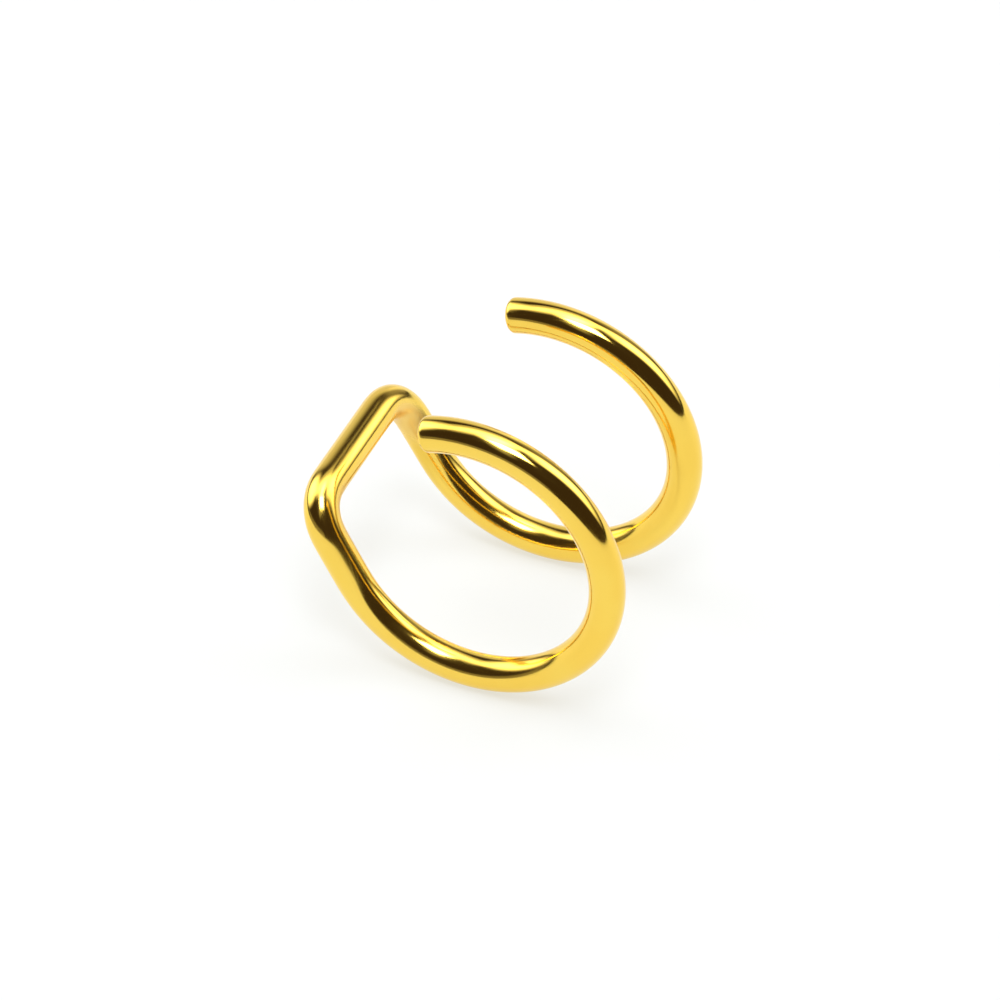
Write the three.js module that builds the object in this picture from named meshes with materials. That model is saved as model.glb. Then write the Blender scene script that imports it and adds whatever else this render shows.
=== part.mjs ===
// Ear cuff: one round wire bent into two open hoops that a straight bar joins.
// Millimetres and degrees, +Z up. The hoops' common axis lies along Y, and the cuff
// rests on the two hoops' rims with the bar level. The origin is on the floor, under the
// middle of the cuff's box.
import * as THREE from 'three';

const { degToRad } = THREE.MathUtils;

// Driving dimensions
const WIRE_DIAMETER = 1.3;
const HOOP_RADIUS = 5.2;       // of the wire's centreline
const HOOP_SPACING = 7.4;      // between the centrelines of the two hoops, at the bar
const HOOP_DROP = 3.25;        // from the bar down the leg to where the round begins
const FRONT_HOOP_SWEEP = 260;  // how far round the hoop at -Y runs before it is cut off
const BACK_HOOP_SWEEP = 257.5; // and the one at +Y, which was cut a little shorter
const HOOP_SPLAY = 1;          // how far each hoop leans outwards, away from the bar
const BEND_RADIUS = 1.35;      // of the wire's centreline, where bar turns into leg
const TIP_ROUNDING = 0.2;      // radius that the cut tips are tumbled to
const REST_TURN = 29.2;        // how far the legs swing forward from upright at rest

// Facets: the middle of a flat, not a corner, is under each hoop at rest
const WIRE_SIDES = 16;
const HOOP_STEPS_TO_FLOOR = 20.5;
const BEND_STEPS = 8;
const TIP_STEPS = 3;

const WIRE_RADIUS = WIRE_DIAMETER / 2;
const HOOP_STEP = degToRad(90 + REST_TURN) / HOOP_STEPS_TO_FLOOR;
const SPLAY = degToRad(HOOP_SPLAY);
const BEND_TURN = Math.PI / 2 - SPLAY;
const BEND_SETBACK = BEND_RADIUS * Math.tan(BEND_TURN / 2);

// The corner where bar and leg would cross, and the way that the leg runs from it,
// both on the +Y side. The hoop's plane holds the leg and the X axis.
const CORNER = new THREE.Vector3(0, HOOP_SPACING / 2, 0);
const BAR_WAY = new THREE.Vector3(0, 1, 0);
const LEG_WAY = new THREE.Vector3(0, Math.sin(SPLAY), -Math.cos(SPLAY));
const INWARD = new THREE.Vector3(1, 0, 0);

// A station is a place on the wire's centreline: its point, the way that the wire runs
// on from there, the inward way that faces the hoop's middle, and the wire's radius.
function station(point, along, inward, radius = WIRE_RADIUS) {
  return { point, along, inward, radius };
}

function bendStation(turned) {
  const along = BAR_WAY.clone().applyAxisAngle(INWARD, -turned);
  const outOfBend = BAR_WAY.clone().applyAxisAngle(INWARD, -turned + Math.PI / 2);
  const startOfBend = CORNER.clone().addScaledVector(BAR_WAY, -BEND_SETBACK);
  const middle = startOfBend.add(new THREE.Vector3(0, 0, -BEND_RADIUS));
  return station(middle.addScaledVector(outOfBend, BEND_RADIUS), along, INWARD.clone());
}

function hoopStation(turned, radius) {
  const middle = CORNER.clone().addScaledVector(LEG_WAY, HOOP_DROP);
  middle.addScaledVector(INWARD, HOOP_RADIUS);
  const inward = INWARD.clone().multiplyScalar(Math.cos(turned));
  inward.addScaledVector(LEG_WAY, -Math.sin(turned));
  const along = INWARD.clone().multiplyScalar(Math.sin(turned));
  along.addScaledVector(LEG_WAY, Math.cos(turned));
  return station(middle.addScaledVector(inward, -HOOP_RADIUS), along, inward, radius);
}

// The stations from the bar's end to the tip, on the +Y side
function halfWire(sweep) {
  const stations = [];
  for (let i = 0; i <= BEND_STEPS; i++) {
    stations.push(bendStation((BEND_TURN * i) / BEND_STEPS));
  }
  const tipTurn = TIP_ROUNDING / HOOP_RADIUS;
  for (let turned = 0; turned < sweep - tipTurn; turned += HOOP_STEP) {
    stations.push(hoopStation(turned));
  }
  for (let i = 0; i <= TIP_STEPS; i++) {
    const roll = ((Math.PI / 2) * i) / TIP_STEPS;
    const turned = sweep - tipTurn * (1 - Math.sin(roll));
    stations.push(hoopStation(turned, WIRE_RADIUS - TIP_ROUNDING * (1 - Math.cos(roll))));
  }
  return stations;
}

// The same station on the -Y side, where the wire is run through towards the bar
function mirrored({ point, along, inward, radius }) {
  const flip = new THREE.Vector3(1, -1, 1);
  const back = along.clone().multiply(flip).negate();
  return station(point.clone().multiply(flip), back, inward.clone().multiply(flip), radius);
}

// A closed round bar through the stations: a ring of corners at each, and flat ends
function sweepWire(stations) {
  const corners = [];
  const faces = [];
  for (const { point, along, inward, radius } of stations) {
    const sideways = new THREE.Vector3().crossVectors(along, inward);
    for (let k = 0; k < WIRE_SIDES; k++) {
      const angle = (2 * Math.PI * k) / WIRE_SIDES;
      const corner = point.clone().addScaledVector(inward, radius * Math.cos(angle));
      corners.push(corner.addScaledVector(sideways, radius * Math.sin(angle)));
    }
  }
  const ringStart = (ring) => ring * WIRE_SIDES;
  for (let ring = 0; ring + 1 < stations.length; ring++) {
    for (let k = 0; k < WIRE_SIDES; k++) {
      const next = (k + 1) % WIRE_SIDES;
      const [a, b] = [ringStart(ring) + k, ringStart(ring) + next];
      const [c, d] = [ringStart(ring + 1) + k, ringStart(ring + 1) + next];
      faces.push(a, b, d, a, d, c);
    }
  }
  const lastRing = ringStart(stations.length - 1);
  const firstMiddle = corners.push(stations[0].point) - 1;
  const lastMiddle = corners.push(stations[stations.length - 1].point) - 1;
  for (let k = 0; k < WIRE_SIDES; k++) {
    const next = (k + 1) % WIRE_SIDES;
    faces.push(firstMiddle, next, k);
    faces.push(lastMiddle, lastRing + k, lastRing + next);
  }
  const geometry = new THREE.BufferGeometry().setFromPoints(corners);
  geometry.setIndex(faces);
  geometry.computeVertexNormals();
  return geometry;
}

function makeCuffWire() {
  const frontHalf = halfWire(degToRad(FRONT_HOOP_SWEEP)).map(mirrored);
  const backHalf = halfWire(degToRad(BACK_HOOP_SWEEP));
  const stations = [...frontHalf.reverse(), ...backHalf];
  const polishedGold = new THREE.MeshStandardMaterial({
    color: 0xf6ca5c,
    roughness: 0.12,
    metalness: 1,
  });
  const wire = new THREE.Mesh(sweepWire(stations), polishedGold);
  wire.name = 'cuff_wire';
  return wire;
}

// Turn the cuff about its hoops' axis to the way it rests, and set it on the floor
function setAtRest(wire) {
  wire.rotation.y = -degToRad(REST_TURN);
  const middle = new THREE.Vector3(HOOP_RADIUS, 0, LEG_WAY.z * HOOP_DROP);
  middle.applyEuler(wire.rotation);
  const left = -WIRE_RADIUS;
  const right = middle.x + HOOP_RADIUS + WIRE_RADIUS;
  const lowest = middle.z - HOOP_RADIUS - WIRE_RADIUS;
  wire.position.set(-(left + right) / 2, 0, -lowest);
}

const cuff = new THREE.Group();
const cuffWire = makeCuffWire();
setAtRest(cuffWire);
cuff.add(cuffWire);

export default cuff;
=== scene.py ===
"""Looks of an ear cuff bent from one polished gold wire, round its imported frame.

The wire is swept by a Geometry Nodes rule from the solid's own sizes, with true rounds
where the solid has facets. Lengths are in metres and angles in degrees.
"""

import math

import bpy
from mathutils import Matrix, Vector


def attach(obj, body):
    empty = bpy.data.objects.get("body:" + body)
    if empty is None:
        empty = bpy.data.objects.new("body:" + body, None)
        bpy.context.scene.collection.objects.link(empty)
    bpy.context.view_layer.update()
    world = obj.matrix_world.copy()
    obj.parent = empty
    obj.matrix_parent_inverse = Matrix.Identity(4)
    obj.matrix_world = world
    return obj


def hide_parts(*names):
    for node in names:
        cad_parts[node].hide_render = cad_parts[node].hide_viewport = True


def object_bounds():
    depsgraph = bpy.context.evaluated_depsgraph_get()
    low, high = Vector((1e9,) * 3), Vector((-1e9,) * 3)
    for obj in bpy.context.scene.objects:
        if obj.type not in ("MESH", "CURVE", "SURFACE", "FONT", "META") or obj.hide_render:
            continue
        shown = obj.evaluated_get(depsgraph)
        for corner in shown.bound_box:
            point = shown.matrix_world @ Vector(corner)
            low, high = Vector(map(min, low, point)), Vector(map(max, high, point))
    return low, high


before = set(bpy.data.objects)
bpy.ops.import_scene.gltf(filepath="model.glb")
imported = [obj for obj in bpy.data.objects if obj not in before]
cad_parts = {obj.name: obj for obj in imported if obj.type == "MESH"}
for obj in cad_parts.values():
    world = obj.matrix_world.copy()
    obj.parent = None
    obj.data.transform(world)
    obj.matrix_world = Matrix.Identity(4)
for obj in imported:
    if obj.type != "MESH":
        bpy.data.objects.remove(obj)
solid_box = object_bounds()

MM = 0.001
MICROMETRE = MM / 1000

# The wire's own sizes
WIRE_RADIUS = 0.65 * MM
HOOP_RADIUS = 5.2 * MM          # of the wire's centreline
HOOP_SPACING = 7.4 * MM         # between the hoops' centrelines, at the bar
HOOP_DROP = 3.25 * MM           # from the bar down the leg to where the round begins
FRONT_HOOP_SWEEP = 260.0        # of the hoop on the camera's side, at -Y
BACK_HOOP_SWEEP = 257.5
HOOP_SPLAY = 1.0
BEND_RADIUS = 1.35 * MM
TIP_ROUNDING = 0.2 * MM
REST_TURN = 29.2
EASING_REACH = 2.0 * MM         # bar, bends and legs are eased into each other, and so is
EASING_STEPS = 30               # this much of each hoop; more steps round a join off more

# How finely the wire is swept
STATIONS = 901
TIP_RINGS = 12
SIDES = 64

# The camera looks at the cuff's middle, a little under half its height
CAMERA_AZIMUTH = 22.54
CAMERA_ELEVATION = 39.64
CAMERA_DISTANCE = 161.7 * MM
CAMERA_LENS = 162.5
CUFF_MIDDLE = Vector((0.05 * MM, 0, 5.41 * MM))

FLOOR_SIZE = 1.2
TENT_DISTANCE = 0.4             # from the cuff to each panel of the light tent

# The light tent's panels, as seen from the cuff. Azimuth is measured from the camera,
# positive to its right. Brightness 1 shows a white card as white, and each panel fades
# from its even middle to nothing at its edge, as lit cloth does. Squareness 2 is an oval
# panel, and 8 a square one with rounded corners.
TENT_PANELS = [
    # name, azimuth, elevation, half width, half height (degrees), even share, brightness,
    # squareness
    ("top_panel", -159, 77, 40, 20, 0.05, 2.1, 4),
    ("rear_panel", -153, 66, 35, 13.5, 0.93, 0.6, 4),
    ("zenith_panel", 51, 88, 29, 15, 0.05, 4.6, 2),
    ("lamp", 2, 68.5, 14.5, 13.5, 0.5, 12.5, 8),
    ("lamp_haze", -19, 64, 11, 34, 0.0, 0.8, 2),
    ("left_panel", -116, 31, 34, 34, 0.2, 3.1, 2.4),
    ("right_panel", 109, 37.5, 26, 38, 0.05, 3.6, 8),
    ("back_wall", -179, -2, 38, 43, 0.5, 0.8, 2),
    ("back_corner", 152, 10, 23, 34, 0.35, 0.3, 2.4),
    ("front_glow", -50, 4, 43, 8.5, 0.8, 0.2, 7),
]
BOARD_SIDES = (-145, -78), (80, 145)    # between which azimuths low dark boards stand
BOARD_DISTANCE = 0.38
BOARD_STEPS = 24
BOARD_TOP = 4.5                 # degrees above the cuff's foot
TENT_FRONT = 0.043              # the dim room seen through the tent's open front
BEHIND_FLOOR = 0.9              # and the pale one that the camera sees past the floor


def linear(colour):
    """An sRGB hex colour such as "#f6ca5c" as linear red, green, blue, alpha."""
    shares = [int(colour[i:i + 2], 16) / 255 for i in (1, 3, 5)]
    return [c / 12.92 if c <= 0.04045 else ((c + 0.055) / 1.055) ** 2.4 for c in shares] + [1]


def add_node(tree, kind, inputs=None, **settings):
    """A new node with its settings; each input is a socket to link or a plain value."""
    node = tree.nodes.new(kind)
    for name, value in settings.items():
        setattr(node, name, value)
    for key, value in (inputs or {}).items():
        if isinstance(value, bpy.types.NodeSocket):
            tree.links.new(value, node.inputs[key])
        else:
            node.inputs[key].default_value = value
    return node


# The bent wire ---------------------------------------------------------------------------

WIRE_SIZES = {
    "Wire radius": WIRE_RADIUS,
    "Hoop radius": HOOP_RADIUS,
    "Hoop spacing": HOOP_SPACING,
    "Hoop drop": HOOP_DROP,
    "Front hoop sweep": math.radians(FRONT_HOOP_SWEEP),
    "Back hoop sweep": math.radians(BACK_HOOP_SWEEP),
    "Hoop splay": math.radians(HOOP_SPLAY),
    "Bend radius": BEND_RADIUS,
    "Tip rounding": TIP_ROUNDING,
    "Rest turn": math.radians(REST_TURN),
    "Easing reach": EASING_REACH,
    "Easing steps": EASING_STEPS,
    "Stations": STATIONS,
    "Tip rings": TIP_RINGS,
    "Sides": SIDES,
}

QUARTER_TURN = math.pi / 2

# The centreline's rule, one sum to a line: its name, the operation and what it works on.
# Each half of the wire is measured from the bar's middle: bar, bend, leg, then hoop.
WIRE_RULE = [
    # which side this station is on, and how many stations it is from its tip
    ("last station", "SUBTRACT", "Stations", 1),
    ("middle station", "DIVIDE", "last station", 2),
    ("past middle", "SUBTRACT", "station", "middle station"),
    ("side", "SIGN", "past middle"),
    ("off middle", "ABSOLUTE", "past middle"),
    ("tip stations", "SUBTRACT", "middle station", "off middle"),
    ("on back hoop", "GREATER_THAN", "past middle", 0),
    ("sweep change", "SUBTRACT", "Back hoop sweep", "Front hoop sweep"),
    ("sweep", "MULTIPLY_ADD", "on back hoop", "sweep change", "Front hoop sweep"),
    # where each stretch ends
    ("bend turn", "SUBTRACT", QUARTER_TURN, "Hoop splay"),
    ("half bend turn", "DIVIDE", "bend turn", 2),
    ("setback share", "TANGENT", "half bend turn"),
    ("setback", "MULTIPLY", "setback share", "Bend radius"),
    ("half spacing", "DIVIDE", "Hoop spacing", 2),
    ("bar end", "SUBTRACT", "half spacing", "setback"),
    ("bend length", "MULTIPLY", "bend turn", "Bend radius"),
    ("bend end", "ADD", "bar end", "bend length"),
    ("leg length", "SUBTRACT", "Hoop drop", "setback"),
    ("leg end", "ADD", "bend end", "leg length"),
    ("hoop length", "MULTIPLY", "sweep", "Hoop radius"),
    ("half wire", "ADD", "leg end", "hoop length"),
    # the tip's edge is a quarter round: rings bunch up there and shrink
    ("tip share", "DIVIDE", "tip stations", "Tip rings"),
    ("tip share so far", "MINIMUM", "tip share", 1),
    ("tip roll", "MULTIPLY", "tip share so far", QUARTER_TURN),
    ("tip roll sine", "SINE", "tip roll"),
    ("tip roll cosine", "COSINE", "tip roll"),
    ("shrink share", "SUBTRACT", 1, "tip roll sine"),
    ("shrink", "MULTIPLY", "shrink share", "Tip rounding"),
    ("radius", "SUBTRACT", "Wire radius", "shrink"),
    ("setting in share", "SUBTRACT", 1, "tip roll cosine"),
    ("setting in", "MULTIPLY", "setting in share", "Tip rounding"),
    # even steps from there to the bar's middle
    ("past tip rings", "SUBTRACT", "tip stations", "Tip rings"),
    ("even steps", "MAXIMUM", "past tip rings", 0),
    ("even steps in all", "SUBTRACT", "middle station", "Tip rings"),
    ("even length", "SUBTRACT", "half wire", "Tip rounding"),
    ("step", "DIVIDE", "even length", "even steps in all"),
    ("stepped", "MULTIPLY", "even steps", "step"),
    ("from tip", "ADD", "setting in", "stepped"),
    ("out along", "SUBTRACT", "half wire", "from tip"),
    ("along", "MULTIPLY", "out along", "side"),
    # how much the station is eased: wholly up to the hoop, and less and less beyond it
    ("easing end", "ADD", "leg end", "Easing reach"),
    ("left to ease", "SUBTRACT", "easing end", "out along"),
    ("easing share", "DIVIDE", "left to ease", "Easing reach"),
    ("easing on hoop", "MAXIMUM", "easing share", 0),
    ("easing", "MINIMUM", "easing on hoop", 1),
    # how much of each stretch lies behind this station
    ("on bar", "MINIMUM", "out along", "bar end"),
    ("past bar", "SUBTRACT", "out along", "bar end"),
    ("into bend", "MAXIMUM", "past bar", 0),
    ("on bend", "MINIMUM", "into bend", "bend length"),
    ("bent", "DIVIDE", "on bend", "Bend radius"),
    ("past bend", "SUBTRACT", "out along", "bend end"),
    ("into leg", "MAXIMUM", "past bend", 0),
    ("on leg", "MINIMUM", "into leg", "leg length"),
    ("past leg", "SUBTRACT", "out along", "leg end"),
    ("on hoop", "MAXIMUM", "past leg", 0),
    ("turned", "DIVIDE", "on hoop", "Hoop radius"),
    # the way out along the bar, and down and forward in the hoop's plane
    ("bent sine", "SINE", "bent"),
    ("bent cosine", "COSINE", "bent"),
    ("bend out", "MULTIPLY", "bent sine", "Bend radius"),
    ("bend down share", "SUBTRACT", 1, "bent cosine"),
    ("bend down", "MULTIPLY", "bend down share", "Bend radius"),
    ("turned sine", "SINE", "turned"),
    ("turned cosine", "COSINE", "turned"),
    ("hoop down", "MULTIPLY", "turned sine", "Hoop radius"),
    ("forward share", "SUBTRACT", 1, "turned cosine"),
    ("forward", "MULTIPLY", "forward share", "Hoop radius"),
    ("down the plane", "ADD", "on leg", "hoop down"),
    ("splay sine", "SINE", "Hoop splay"),
    ("splay cosine", "COSINE", "Hoop splay"),
    ("splayed out", "MULTIPLY", "down the plane", "splay sine"),
    ("splayed down", "MULTIPLY", "down the plane", "splay cosine"),
    ("bar and bend out", "ADD", "on bar", "bend out"),
    ("out", "ADD", "bar and bend out", "splayed out"),
    ("sideways", "MULTIPLY", "out", "side"),
    ("down", "ADD", "bend down", "splayed down"),
    ("up", "MULTIPLY", "down", -1),
    ("lean back", "MULTIPLY", "Rest turn", -1),
]


def bent_wire_tree(finish):
    """Geometry Nodes that sweep a round wire along the rule above."""
    tree = bpy.data.node_groups.new("bent_wire", "GeometryNodeTree")
    for name, value in WIRE_SIZES.items():
        kind = "NodeSocketInt" if isinstance(value, int) else "NodeSocketFloat"
        tree.interface.new_socket(name, in_out="INPUT", socket_type=kind)
    tree.interface.new_socket("Bar middle", in_out="INPUT", socket_type="NodeSocketVector")
    tree.interface.new_socket("Wire", in_out="OUTPUT", socket_type="NodeSocketGeometry")

    given = add_node(tree, "NodeGroupInput").outputs
    known = {name: given[name] for name in WIRE_SIZES}
    known["station"] = add_node(tree, "GeometryNodeInputIndex").outputs[0]
    for name, operation, *terms in WIRE_RULE:
        terms = {place: known.get(term, term) for place, term in enumerate(terms)}
        known[name] = add_node(tree, "ShaderNodeMath", terms, operation=operation).outputs[0]

    upright = add_node(tree, "ShaderNodeCombineXYZ", {
        "X": known["forward"], "Y": known["sideways"], "Z": known["up"]})
    at_rest = add_node(tree, "ShaderNodeVectorRotate", {
        "Vector": upright.outputs[0], "Axis": (0, 1, 0), "Angle": known["lean back"]})
    placed = add_node(tree, "ShaderNodeVectorMath", {
        0: at_rest.outputs[0], 1: given["Bar middle"]}, operation="ADD")

    straight = add_node(tree, "GeometryNodeCurvePrimitiveLine").outputs[0]
    divided = add_node(tree, "GeometryNodeResampleCurve", {
        "Curve": straight, "Count": given["Stations"]}).outputs[0]
    measured = divided
    for name in ("along", "from tip"):
        measured = add_node(tree, "GeometryNodeStoreNamedAttribute", {
            "Geometry": measured, "Name": name, "Value": known[name]}).outputs[0]
    bent = add_node(tree, "GeometryNodeSetPosition", {
        "Geometry": measured, "Position": placed.outputs[0]}).outputs[0]
    position = add_node(tree, "GeometryNodeInputPosition").outputs[0]
    softened = add_node(tree, "GeometryNodeBlurAttribute", {
        0: position, "Iterations": given["Easing steps"], "Weight": known["easing"]},
        data_type="FLOAT_VECTOR").outputs[0]
    eased = add_node(tree, "GeometryNodeSetPosition", {
        "Geometry": bent, "Position": softened}).outputs[0]

    circle = add_node(tree, "GeometryNodeCurvePrimitiveCircle", {
        "Resolution": given["Sides"], "Radius": 1.0}).outputs[0]
    marked = add_node(tree, "GeometryNodeStoreNamedAttribute", {
        "Geometry": circle, "Name": "around", "Value": position},
        data_type="FLOAT_VECTOR").outputs[0]
    swept = add_node(tree, "GeometryNodeCurveToMesh", {
        "Curve": eased, "Profile Curve": marked, "Scale": known["radius"],
        "Fill Caps": True}).outputs[0]
    smooth = add_node(tree, "GeometryNodeSetShadeSmooth", {"Geometry": swept}).outputs[0]
    real = add_node(tree, "GeometryNodeRealizeInstances", {"Geometry": smooth}).outputs[0]
    finished = add_node(tree, "GeometryNodeSetMaterial", {
        "Geometry": real, "Material": finish}).outputs[0]
    add_node(tree, "NodeGroupOutput", {"Wire": finished})
    return tree


def bar_middle():
    """Where the bar's centreline crosses the cuff's middle plane: from the solid's box."""
    low, high = solid_box
    return Vector((low.x + WIRE_RADIUS, 0, bar_height()))


def bar_height():
    """How high the bar's centreline lies, with the hoops' rims on the floor at zero."""
    turn, splay = math.radians(REST_TURN), math.radians(HOOP_SPLAY)
    under_bar = HOOP_DROP * math.cos(splay) * math.cos(turn) - HOOP_RADIUS * math.sin(turn)
    return HOOP_RADIUS + WIRE_RADIUS + under_bar


def make_cuff_wire(finish):
    """The whole wire, swept by its rule and turned into a plain mesh."""
    tree = bent_wire_tree(finish)
    rough = bpy.data.objects.new("rough_wire", bpy.data.meshes.new("rough_wire"))
    bpy.context.collection.objects.link(rough)
    rule = rough.modifiers.new("bent_wire", "NODES")
    rule.node_group = tree
    values = {**WIRE_SIZES, "Bar middle": bar_middle()}
    for item in tree.interface.items_tree:
        if item.in_out == "INPUT":
            rule[item.identifier] = values[item.name]
    swept = rough.evaluated_get(bpy.context.evaluated_depsgraph_get())
    mesh = bpy.data.meshes.new_from_object(swept)
    rough.modifiers.remove(rule)
    bpy.data.objects.remove(rough)
    mesh.name = "gold_wire"
    wire = bpy.data.objects.new("gold_wire", mesh)
    bpy.context.collection.objects.link(wire)
    return wire


# Finishes --------------------------------------------------------------------------------

# The gold's marks, as soft noises on the straightened wire: how wide and how long one
# swell is in millimetres, how its line winds round the wire in degrees for each
# millimetre, and how much finer detail it has.
GOLD_MARKS = [
    # name, width, length, winding, detail
    ("drawn lines", 0.09, 7.0, 0, 1.0),         # really 0.03 wide, drawn wider to show
    ("first hairlines", 0.05, 2.2, 12, 0.0),    # really 0.01 wide, drawn wider to show
    ("second hairlines", 0.05, 1.6, -19, 0.0),
    ("swells", 1.3, 1.9, 0, 0.0),               # that hand buffing leaves
    ("clouds", 1.8, 2.6, 0, 2.0),               # places buffed a little more or less
    ("grain", 0.07, 0.07, 0, 2.0),              # of plate that nothing buffed
]

# Where the buffing wheel doesn't reach: along the wire from the bar's middle, in mm
UNBUFFED_START = 2.7
UNBUFFED_END = 5.3

# Where each mark shows, one sum to a line. A fade is 0 at its second term and 1 at its
# third. Outward is away from the other hoop, and inward is into the hoop's own middle;
# both run from 1 to -1 round the wire.
GOLD_RULE = [
    ("patchiness", "FADE", "clouds", 0.35, 0.65),
    ("hairline crowd", "MAXIMUM", "first hairlines", "second hairlines"),
    ("hairline", "FADE", "hairline crowd", 0.68, 0.80),
    # inside each bend, with soft ragged edges
    ("from bar middle", "ABSOLUTE", "along"),
    ("ragged", "MULTIPLY_ADD", "patchiness", 0.5, "from bar middle"),
    ("past the bar", "FADE", "ragged", UNBUFFED_START - 0.5, UNBUFFED_START + 0.5),
    ("before the leg", "FADE", "ragged", UNBUFFED_END + 0.9, UNBUFFED_END - 0.7),
    ("in the bend", "MULTIPLY", "past the bar", "before the leg"),
    ("inside", "FADE", "outward", 0.15, -0.5),
    ("unbuffed", "MULTIPLY", "in the bend", "inside"),
    ("bare grain", "MULTIPLY", "grain", "unbuffed"),
    # at the tips, whose edges are tumbled and whose flats are left as they were cut
    ("tumbled", "FADE", "from tip", 0.7, 0.1),
    ("cut face", "FADE", "from tip", 0.1, 0.0),
    # and where the wheel only just reaches
    ("inner side", "FADE", "inward", -0.2, 0.45),
]

# How matt the gold is at its brightest, and how much each mark adds to that
BRIGHTEST_ROUGHNESS = 0.07
ADDED_ROUGHNESS = [
    ("patchiness", 0.02),
    ("drawn lines", 0.03),
    ("hairline", 0.05),
    ("tumbled", 0.06),
    ("cut face", 0.14),
    ("inner side", 0.04),
    ("unbuffed", 0.23),
]

# How high each mark stands, in micrometres
MARK_HEIGHTS = [
    ("drawn lines", 0.22),
    ("swells", 4.0),
    ("hairline", -0.15),
    ("bare grain", 1.2),
]


def polished_gold_plate():
    """Yellow gold plated on drawn wire and buffed bright.

    It gives the eye a near mirror with soft edges: faint lines along the wire from the
    drawing die, slow swells and a few hairlines from buffing, a softer shine on the side
    that faces into the hoops, and a sandy, matter skin inside the two bends, where the
    buffing wheel doesn't reach.
    """
    material = bpy.data.materials.new("polished_gold_plate")
    material.use_nodes = True
    tree = material.node_tree
    shader = tree.nodes["Principled BSDF"]
    shader.inputs["Metallic"].default_value = 1.0

    # places on the wire in millimetres; straightened, it runs along Z
    known = {}
    for name in ("along", "from tip"):
        metres = add_node(tree, "ShaderNodeAttribute", attribute_name=name).outputs["Fac"]
        known[name] = add_node(tree, "ShaderNodeMath", {
            0: metres, 1: MM}, operation="DIVIDE").outputs[0]
    around = add_node(tree, "ShaderNodeAttribute", attribute_name="around").outputs["Vector"]
    round_it = add_node(tree, "ShaderNodeVectorMath", {
        0: around, "Scale": WIRE_RADIUS / MM}, operation="SCALE")
    along_it = add_node(tree, "ShaderNodeCombineXYZ", {"Z": known["along"]})
    straightened = add_node(tree, "ShaderNodeVectorMath", {
        0: round_it.outputs[0], 1: along_it.outputs[0]}, operation="ADD")
    facing = add_node(tree, "ShaderNodeSeparateXYZ", {0: around}).outputs
    known["outward"] = facing["X"]
    known["inward"] = facing["Y"]

    for name, width, length, winding, detail in GOLD_MARKS:
        turn = add_node(tree, "ShaderNodeMath", {
            0: known["along"], 1: math.radians(winding)}, operation="MULTIPLY")
        wound = add_node(tree, "ShaderNodeVectorRotate", {
            "Vector": straightened.outputs[0], "Angle": turn.outputs[0]}, rotation_type="Z_AXIS")
        swell = add_node(tree, "ShaderNodeVectorMath", {
            0: wound.outputs[0], 1: (width, width, length)}, operation="DIVIDE")
        known[name] = add_node(tree, "ShaderNodeTexNoise", {
            "Vector": swell.outputs[0], "Scale": 1.0, "Detail": detail}).outputs["Fac"]
    for name, operation, *terms in GOLD_RULE:
        terms = [known.get(term, term) for term in terms]
        if operation == "FADE":
            step = add_node(tree, "ShaderNodeMapRange", {
                "Value": terms[0], "From Min": terms[1], "From Max": terms[2]},
                interpolation_type="SMOOTHSTEP")
        else:
            step = add_node(tree, "ShaderNodeMath", dict(enumerate(terms)), operation=operation)
        known[name] = step.outputs[0]

    roughness = BRIGHTEST_ROUGHNESS
    for mark, added in ADDED_ROUGHNESS:
        roughness = add_node(tree, "ShaderNodeMath", {
            0: known[mark], 1: added, 2: roughness}, operation="MULTIPLY_ADD").outputs[0]
    height = 0.0
    for mark, micrometres in MARK_HEIGHTS:
        height = add_node(tree, "ShaderNodeMath", {
            0: known[mark], 1: micrometres, 2: height}, operation="MULTIPLY_ADD").outputs[0]
    relief = add_node(tree, "ShaderNodeBump", {"Height": height, "Distance": MICROMETRE})

    # a mix takes its two colours at 6 and 7, and gives the mixed one at 2
    buffed_gold = add_node(tree, "ShaderNodeMix", {
        "Factor": known["patchiness"], 6: linear("#f8d35e"), 7: linear("#f7cf58")},
        data_type="RGBA").outputs[2]
    gold = add_node(tree, "ShaderNodeMix", {
        "Factor": known["unbuffed"], 6: buffed_gold, 7: linear("#f4cf76")},
        data_type="RGBA").outputs[2]
    tree.links.new(gold, shader.inputs["Base Color"])
    tree.links.new(roughness, shader.inputs["Roughness"])
    tree.links.new(relief.outputs[0], shader.inputs["Normal"])
    return material


OPAL_CLOUD_SIZE = 25 * MM
OPAL_GLOW = 0.67, 0.69          # from its dimmest to its brightest cloud
SATIN_GRAIN_SIZE = 0.3 * MM     # really about 0.1, drawn coarser so that it shows
SATIN_GRAIN_HEIGHT = 2 * MICROMETRE


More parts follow.
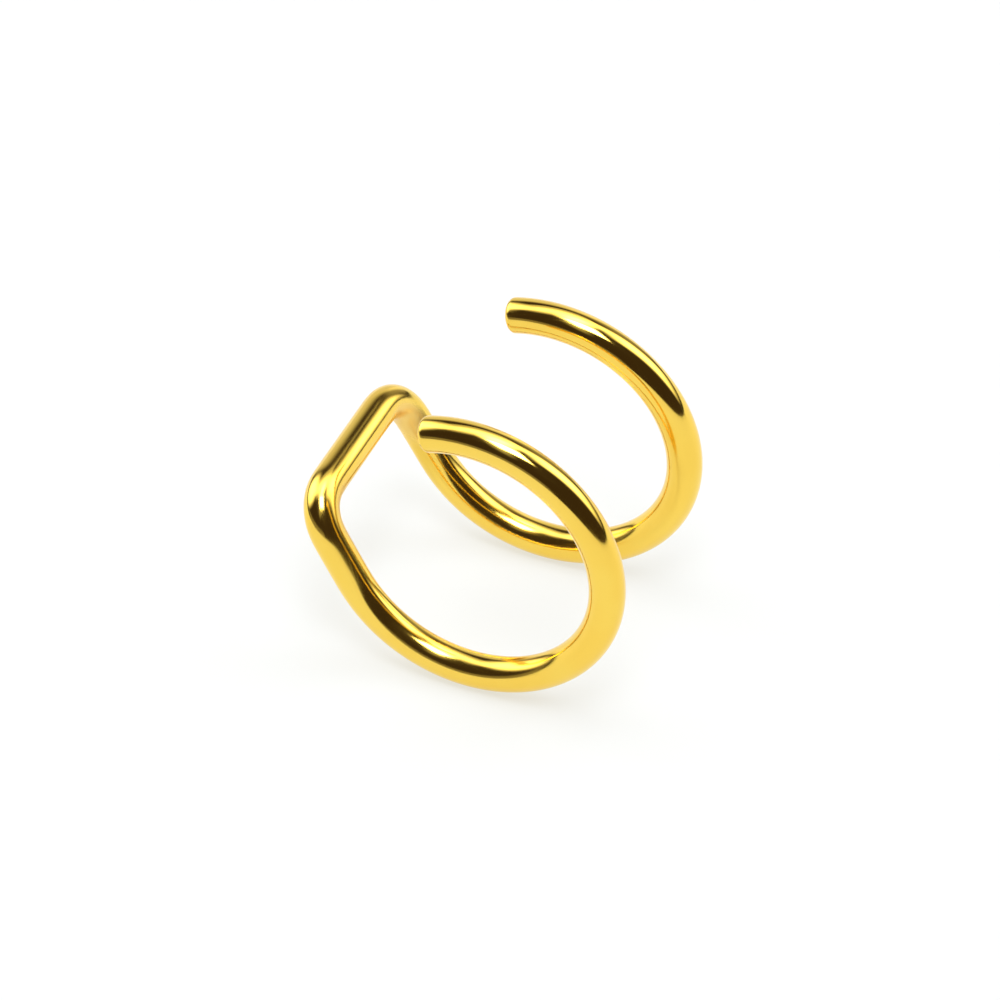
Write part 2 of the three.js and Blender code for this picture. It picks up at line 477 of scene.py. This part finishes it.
def lit_opal_acrylic():
    """The pale floor: satin opal acrylic sheet, lit from beneath.

    It gives the eye faint shadows on a white that clouds a very little, with satin grain.
    """
    material = bpy.data.materials.new("lit_opal_acrylic")
    material.use_nodes = True
    tree = material.node_tree
    shader = tree.nodes["Principled BSDF"]
    shader.inputs["Base Color"].default_value = linear("#7e838b")
    shader.inputs["Roughness"].default_value = 0.6
    shader.inputs["Specular IOR Level"].default_value = 0.2
    shader.inputs["Emission Color"].default_value = linear("#fffdf4")

    metres = add_node(tree, "ShaderNodeTexCoord").outputs["Object"]
    clouding = add_node(tree, "ShaderNodeTexNoise", {
        "Vector": metres, "Scale": 1 / OPAL_CLOUD_SIZE, "Detail": 2.0}).outputs["Fac"]
    glow = add_node(tree, "ShaderNodeMapRange", {
        "Value": clouding, "To Min": OPAL_GLOW[0], "To Max": OPAL_GLOW[1]}).outputs[0]
    tree.links.new(glow, shader.inputs["Emission Strength"])
    grain = add_node(tree, "ShaderNodeTexNoise", {
        "Vector": metres, "Scale": 1 / SATIN_GRAIN_SIZE, "Detail": 1.0}).outputs["Fac"]
    satin = add_node(tree, "ShaderNodeBump", {"Height": grain, "Distance": SATIN_GRAIN_HEIGHT})
    tree.links.new(satin.outputs[0], shader.inputs["Normal"])
    return material


def black_card():
    """The boards: matt black card, which the gold shows as an even dark line."""
    material = bpy.data.materials.new("black_card")
    material.use_nodes = True
    shader = material.node_tree.nodes["Principled BSDF"]
    shader.inputs["Base Color"].default_value = linear("#1c1815")
    shader.inputs["Roughness"].default_value = 0.9
    return material


# Floor, light and camera -----------------------------------------------------------------

def lay_floor():
    """A flat pale sheet under the cuff, its top at zero."""
    mesh = bpy.data.meshes.new("floor")
    half = FLOOR_SIZE / 2
    corners = [(-half, -half, 0), (half, -half, 0), (half, half, 0), (-half, half, 0)]
    mesh.from_pydata(corners, [], [(0, 1, 2, 3)])
    mesh.materials.append(lit_opal_acrylic())
    floor = bpy.data.objects.new("floor", mesh)
    bpy.context.collection.objects.link(floor)


def face_cuff(thing, azimuth, elevation, distance):
    """Put a lamp or camera that way from the aim point, level and facing it."""
    turn, tilt = math.radians(azimuth), math.radians(elevation)
    level = Vector((math.sin(turn), -math.cos(turn), 0)) * math.cos(tilt)
    away = level + Vector((0, 0, math.sin(tilt)))
    thing.location = CUFF_MIDDLE + away * distance
    thing.rotation_euler = (math.radians(90 - elevation), 0, turn)
    bpy.context.collection.objects.link(thing)


def hang_panel(name, azimuth, elevation, half_width, half_height, even_share, brightness,
               squareness):
    """One soft-edged panel of the tent, its size given as the angles that it fills."""
    light = bpy.data.lights.new(name, "AREA")
    light.shape = "RECTANGLE"
    light.size = 2 * TENT_DISTANCE * math.tan(math.radians(half_width))
    light.size_y = 2 * TENT_DISTANCE * math.tan(math.radians(half_height))
    light.energy = brightness * math.pi * light.size * light.size_y
    light.use_nodes = True
    tree = light.node_tree
    across = add_node(tree, "ShaderNodeNewGeometry").outputs["Parametric"]
    from_middle = add_node(tree, "ShaderNodeVectorMath", {
        0: across, 1: (2, 2, 0), 2: (-1, -1, 0)}, operation="MULTIPLY_ADD")
    out_each_way = add_node(tree, "ShaderNodeVectorMath", {
        0: from_middle.outputs[0]}, operation="ABSOLUTE")
    ways = add_node(tree, "ShaderNodeSeparateXYZ", {0: out_each_way.outputs[0]}).outputs
    raised = [add_node(tree, "ShaderNodeMath", {
        0: ways[axis], 1: squareness}, operation="POWER").outputs[0] for axis in "XY"]
    both = add_node(tree, "ShaderNodeMath", {0: raised[0], 1: raised[1]}, operation="ADD")
    out = add_node(tree, "ShaderNodeMath", {
        0: both.outputs[0], 1: 1 / squareness}, operation="POWER")
    lit = add_node(tree, "ShaderNodeMapRange", {
        "Value": out.outputs[0], "From Min": 1.0, "From Max": even_share},
        interpolation_type="SMOOTHSTEP")
    tree.links.new(lit.outputs[0], tree.nodes["Emission"].inputs["Strength"])
    panel = bpy.data.objects.new(name, light)
    panel.visible_camera = False
    face_cuff(panel, CAMERA_AZIMUTH + azimuth, elevation, TENT_DISTANCE)


def stand_boards():
    """Low dark boards at the tent's sides, which draw a thin line along the gold."""
    card = black_card()
    height = BOARD_DISTANCE * math.tan(math.radians(BOARD_TOP))
    for start, end in BOARD_SIDES:
        corners = []
        for step in range(BOARD_STEPS + 1):
            azimuth = CAMERA_AZIMUTH + start + (end - start) * step / BOARD_STEPS
            turn = math.radians(azimuth)
            x, y = BOARD_DISTANCE * math.sin(turn), -BOARD_DISTANCE * math.cos(turn)
            corners += [(x, y, 0), (x, y, height)]
        faces = [(i, i + 2, i + 3, i + 1) for i in range(0, 2 * BOARD_STEPS, 2)]
        mesh = bpy.data.meshes.new("board")
        mesh.from_pydata(corners, [], faces)
        mesh.materials.append(card)
        board = bpy.data.objects.new("board", mesh)
        board.visible_camera = False
        bpy.context.collection.objects.link(board)


def darken_room():
    """A dim room for what the metal reflects, pale where the camera sees past the floor."""
    world = bpy.data.worlds.new("room")
    world.use_nodes = True
    tree = world.node_tree
    dim = tree.nodes["Background"]
    dim.inputs["Color"].default_value = linear("#ffd9ce")
    dim.inputs["Strength"].default_value = TENT_FRONT
    pale = add_node(tree, "ShaderNodeBackground", {
        "Color": (1, 1, 1, 1), "Strength": BEHIND_FLOOR})
    path = add_node(tree, "ShaderNodeLightPath")
    chosen = add_node(tree, "ShaderNodeMixShader", {
        0: path.outputs["Is Camera Ray"], 1: dim.outputs[0], 2: pale.outputs[0]})
    tree.links.new(chosen.outputs[0], tree.nodes["World Output"].inputs["Surface"])
    bpy.context.scene.world = world


def set_camera():
    """A long lens that looks down on the cuff, over its front hoop."""
    camera = bpy.data.cameras.new("camera")
    camera.lens = CAMERA_LENS
    camera.clip_start = 10 * MM
    holder = bpy.data.objects.new("camera", camera)
    face_cuff(holder, CAMERA_AZIMUTH, CAMERA_ELEVATION, CAMERA_DISTANCE)
    bpy.context.scene.camera = holder


set_camera()
gold_wire = make_cuff_wire(polished_gold_plate())
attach(gold_wire, "root")
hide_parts("cuff_wire")
lay_floor()
for panel in TENT_PANELS:
    hang_panel(*panel)
stand_boards()
darken_room()
bpy.context.scene.view_settings.view_transform = "Standard"
